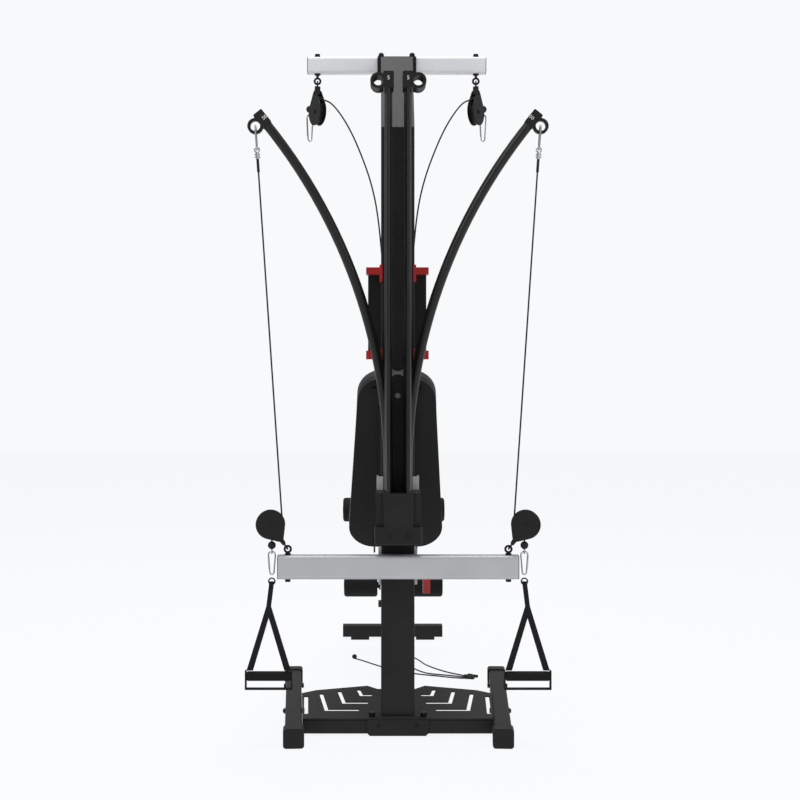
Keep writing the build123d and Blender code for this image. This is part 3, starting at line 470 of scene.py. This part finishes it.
def tube_loop(points, radius: float, sides: int = 12):
    """Vertices and faces of a round wire along a closed loop.

    Args:
        points: Closed loop of points, the first not repeated.
        radius: Wire radius.
        sides: Steps round the wire.

    Returns:
        Vertex array and face list.
    """
    loop = np.asarray(points, dtype=float)
    ahead = np.roll(loop, -1, 0) - np.roll(loop, 1, 0)
    ahead /= np.linalg.norm(ahead, axis=1)[:, None]
    normal = np.cross(loop[len(loop) // 3] - loop[0], loop[2 * len(loop) // 3] - loop[0])
    normal /= np.linalg.norm(normal)
    out = np.cross(ahead, normal)
    turn = np.linspace(0, 2 * math.pi, sides, endpoint=False)
    verts = loop[:, None] + radius * (
        np.cos(turn)[None, :, None] * out[:, None] + np.sin(turn)[None, :, None] * normal[None, None]
    )
    n = len(loop)
    i, j = np.meshgrid(np.arange(n), np.arange(sides), indexing="ij")
    ni, nj = (i + 1) % n, (j + 1) % sides
    faces = np.stack([i * sides + j, i * sides + nj, ni * sides + nj, ni * sides + j], -1).reshape(-1, 4)
    return verts.reshape(-1, 3), faces.tolist()


def round_corner(before, corner, after, radius: float) -> list:
    """Control points that round a corner to a radius on a quadratic curve.

    Args:
        before: Point before the corner.
        corner: The corner.
        after: Point after the corner.
        radius: Bend radius in metres.

    Returns:
        Three control points, kept inside the two legs.
    """
    back, ahead = Vector(before) - Vector(corner), Vector(after) - Vector(corner)
    half_turn = (math.pi - back.angle(ahead)) / 2
    reach = 2 * radius * math.tan(half_turn)
    near, far = (leg.normalized() * min(reach, leg.length * 0.9) for leg in (back, ahead))
    return [Vector(corner) + near, Vector(corner), Vector(corner) + far]


def ball_profile(radius: float, steps: int = 24) -> list:
    """Profile of a ball for lathe(), from pole to pole.

    Args:
        radius: Radius of the ball.
        steps: Points on the half circle.

    Returns:
        Profile that stops a hair short of each pole.
    """
    turn = np.linspace(0.001, math.pi - 0.001, steps)
    return [(-radius * math.cos(t), radius * math.sin(t)) for t in turn]


def pill_profile(length: float, radius: float, edge: float, bore: float = 0.0, steps: int = 8) -> list:
    """Profile of a roller with rounded rims.

    Args:
        length: Length along the axis.
        radius: Outer radius.
        edge: Radius of the rounded rims.
        bore: Radius of the hole, or 0 for none.
        steps: Points on each rim.

    Returns:
        Closed profile for lathe().
    """
    turn = np.linspace(0, math.pi / 2, steps)
    near = [(edge - edge * math.cos(t), radius - edge + edge * math.sin(t)) for t in turn]
    far = [(length - x, r) for x, r in reversed(near)]
    hole = max(bore, 0.0002)
    return [(0.0, hole), *near, *far, (length, hole), *([(0.0, hole)] if bore else [])]


def pear(top, foot, sideways, top_r: float, foot_r: float, steps: int = 14) -> list:
    """Closed pear-shaped loop of a snap hook.

    Args:
        top: Highest point of the loop's wire.
        foot: Lowest point of the loop's wire.
        sideways: Unit vector across the loop.
        top_r: Radius at the top.
        foot_r: Radius at the foot.
        steps: Points on each half circle.

    Returns:
        Points of the loop.
    """
    top, foot, across = Vector(top), Vector(foot), Vector(sideways)
    down = (foot - top).normalized()
    tilt = math.asin((top_r - foot_r) / ((foot - top).length - top_r - foot_r))
    loop = []
    for centre, radius, start, end in (
        (top + down * top_r, top_r, -tilt, math.pi + tilt),
        (foot - down * foot_r, foot_r, math.pi + tilt, 2 * math.pi - tilt),
    ):
        for angle in np.linspace(start, end, steps):
            loop.append(centre + across * (radius * math.cos(angle)) - down * (radius * math.sin(angle)))
    return [tuple(p) for p in loop]


def upper_stop(side: int) -> tuple:
    """Places at the wheel of an upper cable.

    Args:
        side: -1 for left, 1 for right.

    Returns:
        Unit vector along the wheel's plane, centre of the wheel and centre of the stop ball.
    """
    inward = Vector((-side * math.cos(LAT_TURN), -math.sin(LAT_TURN), 0))
    centre = Vector((side * LAT_CENTRE[0], *LAT_CENTRE[1:]))
    return inward, centre, centre + inward * LAT_STOP_ALONG + Vector((0, 0, LAT_STOP_UP))


@dataclass
class Cables:
    """Cables with their stop balls, rings and sleeves.

    Args:
        shop: Workshop that makes the pieces.
    """

    shop: Workshop

    def build(self) -> None:
        """Lays every cable of the gym."""
        for name, side in SIDES.items():
            self.upper(name, side)
            self.rod(name, side)
        self.floor()

    def stop(self, name: str, centre, sideways, body: str, node: str) -> None:
        """Stop ball with a small ring under it.

        Args:
            name: Start of the pieces' names.
            centre: Centre of the ball.
            sideways: Unit vector square to the ring.
            body: Body the pieces ride on.
            node: CAD node they replace.
        """
        shape = lathe(ball_profile(STOP_R), centre, (0, 0, 1), 40)
        ball = self.shop.mesh(f"{name}_ball", *shape, "black_plastic")
        middle = Vector(centre) - Vector((0, 0, STOP_R + RING_DROP))
        across = Vector(sideways).cross(Vector((0, 0, 1)))
        loop = []
        for t in np.linspace(0, 2 * math.pi, 32, endpoint=False):
            rise = Vector((0, 0, RING_R * math.sin(t)))
            loop.append(tuple(middle + across * (RING_R * math.cos(t)) + rise))
        ring = self.shop.mesh(f"{name}_ring", *tube_loop(loop, RING_WIRE), "zinc")
        for piece in (ball, ring):
            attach(piece, body)
            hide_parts(node)

    def upper(self, name: str, side: int) -> None:
        """Upper cable: from its stop, over the wheel, down to the rack's clip.

        Args:
            name: "left" or "right".
            side: -1 for left, 1 for right.
        """
        inward, centre, stop = upper_stop(side)
        crown = centre + Vector((0, 0, CABLE_PATH_R * CROWN_LIFT))
        start = stop + (crown - stop).normalized() * (STOP_R - STOP_SINK)
        free = [Vector((side * x, y, z)) for x, y, z in LAT_ROUTE]
        points = [start, *round_corner(start, crown, free[0], CABLE_PATH_R), *free]
        cable = self.shop.curve(f"upper_cable_{name}", points, CABLE_D, "cable")
        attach(cable, "root")
        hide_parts(f"lat_cable_{name}")
        across = inward.cross(Vector((0, 0, 1)))
        self.stop(f"upper_stop_{name}", stop, across, "root", f"lat_cable_{name}")

    def rod(self, name: str, side: int) -> None:
        """Rod cable: from the sleeve at the rod's hook, round the lower wheel, to its stop.

        Args:
            name: "left" or "right".
            side: -1 for left, 1 for right.
        """
        run_x, run_z = CHEST_CENTRE[0] - ROD_RING[0], CHEST_CENTRE[2] - ROD_RING[2]
        arrive = math.atan2(run_x, -run_z) - math.asin(CABLE_PATH_R / math.hypot(run_x, run_z))
        half_turn = (LEAVE_ANGLE - arrive) / 2
        bisector = (arrive + LEAVE_ANGLE) / 2
        corner_r = CABLE_PATH_R / math.cos(half_turn)
        corner_x = CHEST_CENTRE[0] - corner_r * math.cos(bisector)
        corner_z = CHEST_CENTRE[2] - corner_r * math.sin(bisector)
        drop = (CHEST_STOP[0] - corner_x) / math.sin(LEAVE_ANGLE)
        bend = Vector((side * CHEST_STOP[0], CHEST_STOP[1], corner_z - drop * math.cos(LEAVE_ANGLE)))
        corner = Vector((side * corner_x, CHEST_CENTRE[1], corner_z))
        hook = Vector((side * ROD_RING[0], *ROD_RING[1:]))
        way = (corner - hook).normalized()
        sleeve_end = hook + way * SLEEVE_TO
        end = Vector((side * CHEST_STOP[0], CHEST_STOP[1], CHEST_STOP[2] + STOP_R - STOP_SINK))
        points = [sleeve_end, *round_corner(sleeve_end, corner, bend, CABLE_PATH_R), bend, end]
        body, node = f"rod_run_{name}", f"rod_cable_{name}"
        cable = self.shop.curve(f"rod_line_{name}", points, CABLE_D, "cable")
        profile = pill_profile(SLEEVE_TO - CLAMP_TO, SLEEVE_R, SLEEVE_EDGE)
        shape = lathe(profile, hook + way * CLAMP_TO, way, 32)
        sleeve = self.shop.mesh(f"rod_sleeve_{name}", *shape, "black_plastic")
        for piece in (cable, sleeve):
            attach(piece, body)
            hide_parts(node)
        self.stop(f"rod_stop_{name}", (side * CHEST_STOP[0], *CHEST_STOP[1:]), (side, 0, 0), body, node)

    def floor(self) -> None:
        """Loose cables on the floor, two from the front leg and one among their clips."""
        for number, (route, length) in enumerate(zip(FLOOR_ROUTES, FLOOR_LENGTHS)):
            cable = self.shop.curve(f"floor_cable_{number}", route, CABLE_D, "cable")
            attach(cable, "root")
            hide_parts("floor_cables")


@dataclass
class Hooks:
    """Round-wire snap hooks with a sprung gate.

    Args:
        shop: Workshop that makes the pieces.
    """

    shop: Workshop

    def build(self) -> None:
        """Makes the hooks of both grips and both upper cables."""
        for name, side in SIDES.items():
            stop = Vector((side * CHEST_STOP[0], *CHEST_STOP[1:]))
            drop = Vector((0, 0, STOP_R + HOOK_DROP))
            self.hook(f"grip_snap_{name}", stop - drop, (side, 0, 0), GRIP_HOOK_LENGTH,
                      f"grip_{name}", f"grip_hook_{name}")
            inward, _, stop = upper_stop(side)
            across = inward.cross(Vector((0, 0, 1)))
            self.hook(f"upper_snap_{name}", stop - drop, across, LAT_HOOK_LENGTH,
                      f"lat_clip_{name}", f"lat_hook_{name}")

    def hook(self, name: str, top, sideways, length: float, body: str, node: str) -> None:
        """One snap hook: a closed loop of bent wire with a gate on one side.

        Args:
            name: Start of the pieces' names.
            top: Highest point of the wire.
            sideways: Unit vector across the loop, towards the gate.
            length: Height of the loop.
            body: Body the pieces ride on.
            node: CAD node they replace.
        """
        foot = Vector(top) - Vector((0, 0, length))
        outline = pear(top, foot, sideways, HOOK_TOP_R, HOOK_FOOT_R)
        loop = self.shop.mesh(f"{name}_wire", *tube_loop(outline, HOOK_WIRE), "zinc")
        across = Vector(sideways)
        high = Vector(top) + across * (HOOK_TOP_R * 0.98) - Vector((0, 0, HOOK_TOP_R * 1.15))
        low = foot + across * (HOOK_FOOT_R * 1.25) + Vector((0, 0, HOOK_FOOT_R * 2.4))
        run = low - high
        profile = pill_profile(run.length, HOOK_WIRE * 1.22, HOOK_WIRE * 0.4)
        gate = self.shop.mesh(f"{name}_gate", *lathe(profile, high, run, 24), "zinc")
        for piece in (loop, gate):
            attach(piece, body)
            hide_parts(node)


@dataclass
class Foam:
    """Foam rollers of the leg station and foam of the grips.

    Args:
        shop: Workshop that makes the pieces.
    """

    shop: Workshop

    def build(self) -> None:
        """Makes every foam piece."""
        for node, body in (("upper_rollers", "upper_roll"), ("lower_rollers", "lower_roll")):
            low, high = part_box(node)
            radius = (high[2] - low[2]) / 2
            y, z = (low[1] + high[1]) / 2, (low[2] + high[2]) / 2
            for name, side in SIDES.items():
                profile = pill_profile(high[0] - ROLLER_START, radius, ROLLER_EDGE, bore=ROLLER_BORE)
                shape = lathe(profile, (side * ROLLER_START, y, z), (side, 0, 0), 96)
                roll = self.shop.mesh(f"{node}_{name}", *shape, "foam")
                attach(roll, body)
                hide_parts(node)
        for name in SIDES:
            low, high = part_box(f"grip_foam_{name}")
            radius, length = (high[2] - low[2]) / 2, high[0] - low[0]
            start = (low[0], (low[1] + high[1]) / 2, (low[2] + high[2]) / 2)
            profile = pill_profile(length, radius, GRIP_EDGE)
            foam = self.shop.mesh(f"hand_foam_{name}", *lathe(profile, start, (1, 0, 0), 72), "foam")
            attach(foam, f"grip_{name}")
            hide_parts(f"grip_foam_{name}")


@dataclass
class Cushions:
    """Vinyl seat and back cushions, filled by a cloth simulation.

    Args:
        shop: Workshop that makes the pieces.
    """

    shop: Workshop

    def build(self) -> None:
        """Makes both cushions."""
        self.cushion("seat_cushion", "seat")
        self.cushion("back_cushion", "backrest")

    def cushion(self, node: str, body: str) -> None:
        """Args:
            node: CAD node of the cushion.
            body: Body it rides on.
        """
        source = self.shop.frame["nodes"][node]
        pad = add_object(f"{node}_cover", source.data.copy())
        remesh = pad.modifiers.new("Remesh", "REMESH")
        remesh.mode, remesh.voxel_size = "VOXEL", CUSHION_VOXEL
        self.apply(pad)
        rest = self.points(pad)
        self.inflate(pad)
        moved = self.points(pad) - rest
        reach = np.linalg.norm(moved, axis=1, keepdims=True)
        moved *= np.minimum(1.0, CUSHION_REACH / np.maximum(reach, 1e-9))
        low, high = (np.array(corner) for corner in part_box(node))
        kept = np.clip(rest + moved, low - CUSHION_SLACK, high + CUSHION_SLACK)
        pad.data.vertices.foreach_set("co", kept.ravel())
        pad.data.update()
        pad.data.polygons.foreach_set("use_smooth", np.ones(len(pad.data.polygons), dtype=bool))
        smooth = pad.modifiers.new("Smooth", "SMOOTH")
        smooth.factor, smooth.iterations = 0.5, 6
        self.shop.dress(pad, "grey_vinyl")
        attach(pad, body)
        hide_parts(node)

    @staticmethod
    def points(obj) -> np.ndarray:
        """Vertex places of an object.

        Args:
            obj: Mesh object.

        Returns:
            Array with one row for each vertex.
        """
        flat = np.empty(len(obj.data.vertices) * 3)
        obj.data.vertices.foreach_get("co", flat)
        return flat.reshape(-1, 3)

    @staticmethod
    def apply(obj) -> None:
        """Applies an object's modifiers to its own mesh.

        Args:
            obj: Mesh object.
        """
        view = bpy.context.evaluated_depsgraph_get()
        mesh = bpy.data.meshes.new_from_object(obj.evaluated_get(view))
        obj.modifiers.clear()
        obj.data = mesh

    def inflate(self, pad) -> None:
        """Runs the cloth simulation and keeps its last shape.

        Args:
            pad: Remeshed cushion.
        """
        scene = bpy.context.scene
        cloth = pad.modifiers.new("Cloth", "CLOTH")
        cloth.settings.use_pressure = True
        cloth.settings.uniform_pressure_force = CUSHION_PRESSURE
        cloth.settings.effector_weights.gravity = 0.0
        cloth.point_cache.frame_start, cloth.point_cache.frame_end = 1, CUSHION_FRAMES
        for step in range(1, CUSHION_FRAMES + 1):
            scene.frame_set(step)
        self.apply(pad)
        scene.frame_set(1)


@dataclass
class Marks:
    """Weight numbers on the rod caps.

    Args:
        shop: Workshop that makes the pieces.
    """

    shop: Workshop

    def build(self) -> None:
        """Places every mark."""
        low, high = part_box("light_rod_caps")
        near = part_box("heavy_rod_caps")[0][1] - MARK_GAP
        for name, side in SIDES.items():
            light = (side * LIGHT_MARK_X, low[1] - MARK_GAP, high[2] - LIGHT_MARK_DROP)
            heavy = (side * HEAVY_MARK_X, near, HEAVY_MARK_Z)
            self.number(f"light_mark_{name}", "5", light, LIGHT_LABEL_H, 0)
            self.number(f"heavy_mark_{name}", "50", heavy, HEAVY_LABEL_H, side * ROD_LEAN)

    def number(self, name: str, text: str, place, height: float, lean: float) -> None:
        """One flat number that faces the rods' side.

        Args:
            name: Piece name.
            text: Digits to show.
            place: Middle of the number.
            height: Size of the text.
            lean: Turn about the viewing direction.
        """
        font = bpy.data.curves.new(name, "FONT")
        font.body, font.size, font.align_x, font.align_y = text, height, "CENTER", "CENTER"
        font.extrude = MARK_DEPTH
        shown = add_object(name + "_text", font)
        view = bpy.context.evaluated_depsgraph_get()
        mesh = bpy.data.meshes.new_from_object(shown.evaluated_get(view))
        bpy.data.objects.remove(shown)
        turn = Matrix.Rotation(lean, 4, "Y") @ Matrix.Rotation(math.pi / 2, 4, "X")
        mesh.transform(Matrix.Translation(place) @ turn)
        mark = add_object(name, mesh)
        self.shop.dress(mark, "label")
        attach(mark, "root")


def add_camera() -> None:
    """Level camera on the rods' side."""
    data = bpy.data.cameras.new("camera")
    data.sensor_width, data.lens = CAMERA_SENSOR, CAMERA_LENS
    data.shift_x, data.shift_y = CAMERA_SHIFT
    camera = add_object("camera", data)
    camera.location = CAMERA_PLACE
    camera.rotation_euler = (math.pi / 2, 0.0, 0.0)
    bpy.context.scene.camera = camera


def add_light(name: str, place, target, size: float, power: float) -> None:
    """Soft square light aimed at a point.

    Args:
        name: Light name.
        place: Where it stands.
        target: Where it points.
        size: Side in metres.
        power: Watts.
    """
    data = bpy.data.lights.new(name, "AREA")
    data.shape, data.size, data.energy = "SQUARE", size, power
    light = add_object(name, data)
    light.location = place
    light.rotation_euler = (Vector(target) - Vector(place)).to_track_quat("-Z", "Y").to_euler()


def add_studio(shop: Workshop) -> None:
    """Pale floor, pale world and soft lights.

    Args:
        shop: Workshop with the materials.
    """
    corners = [(x * FLOOR_REACH, y * FLOOR_REACH, 0) for x, y in ((-1, -1), (1, -1), (1, 1), (-1, 1))]
    floor = shop.mesh("studio_floor", corners, [(0, 1, 2, 3)], "label", smooth=False)
    material = bpy.data.materials.new("studio")
    material.use_nodes = True
    tree = material.node_tree
    tree.nodes.clear()
    pale = linear(PALE)
    glow = add_node(tree, "Emission", Color=pale, Strength=FLOOR_GLOW)
    matt = add_node(tree, "BsdfDiffuse", Color=(*(c * FLOOR_MATT for c in pale[:3]), 1.0))
    both = add_node(tree, "AddShader", {0: glow.outputs[0], 1: matt.outputs[0]})
    add_node(tree, "OutputMaterial", {"Surface": both.outputs[0]})
    floor.data.materials[0] = material
    world = bpy.data.worlds.new("studio")
    world.use_nodes = True
    sky = world.node_tree
    sky.nodes.clear()
    seen = add_node(sky, "LightPath").outputs["Is Camera Ray"]
    power = add_node(sky, "MapRange", {"Value": seen}, To_Min=SKY_LIGHT, To_Max=SKY_SEEN)
    background = add_node(sky, "Background", {"Strength": power.outputs["Result"]}, Color=pale)
    add_node(sky, "OutputWorld", {"Surface": background.outputs[0]})
    bpy.context.scene.world = world
    bpy.context.scene.view_settings.view_transform = "Standard"
    for light in LIGHTS:
        add_light(*light)


def main() -> None:
    """Builds the scene."""
    logging.basicConfig(level=logging.INFO)
    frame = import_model()
    shop = Workshop(frame)
    shop.dress_nodes()
    for section in (Cables, Hooks, Foam, Cushions, Marks):
        section(shop).build()
        LOG.info("built %s", section.__name__)
    add_camera()
    add_studio(shop)


if __name__ == "__main__":
    main()
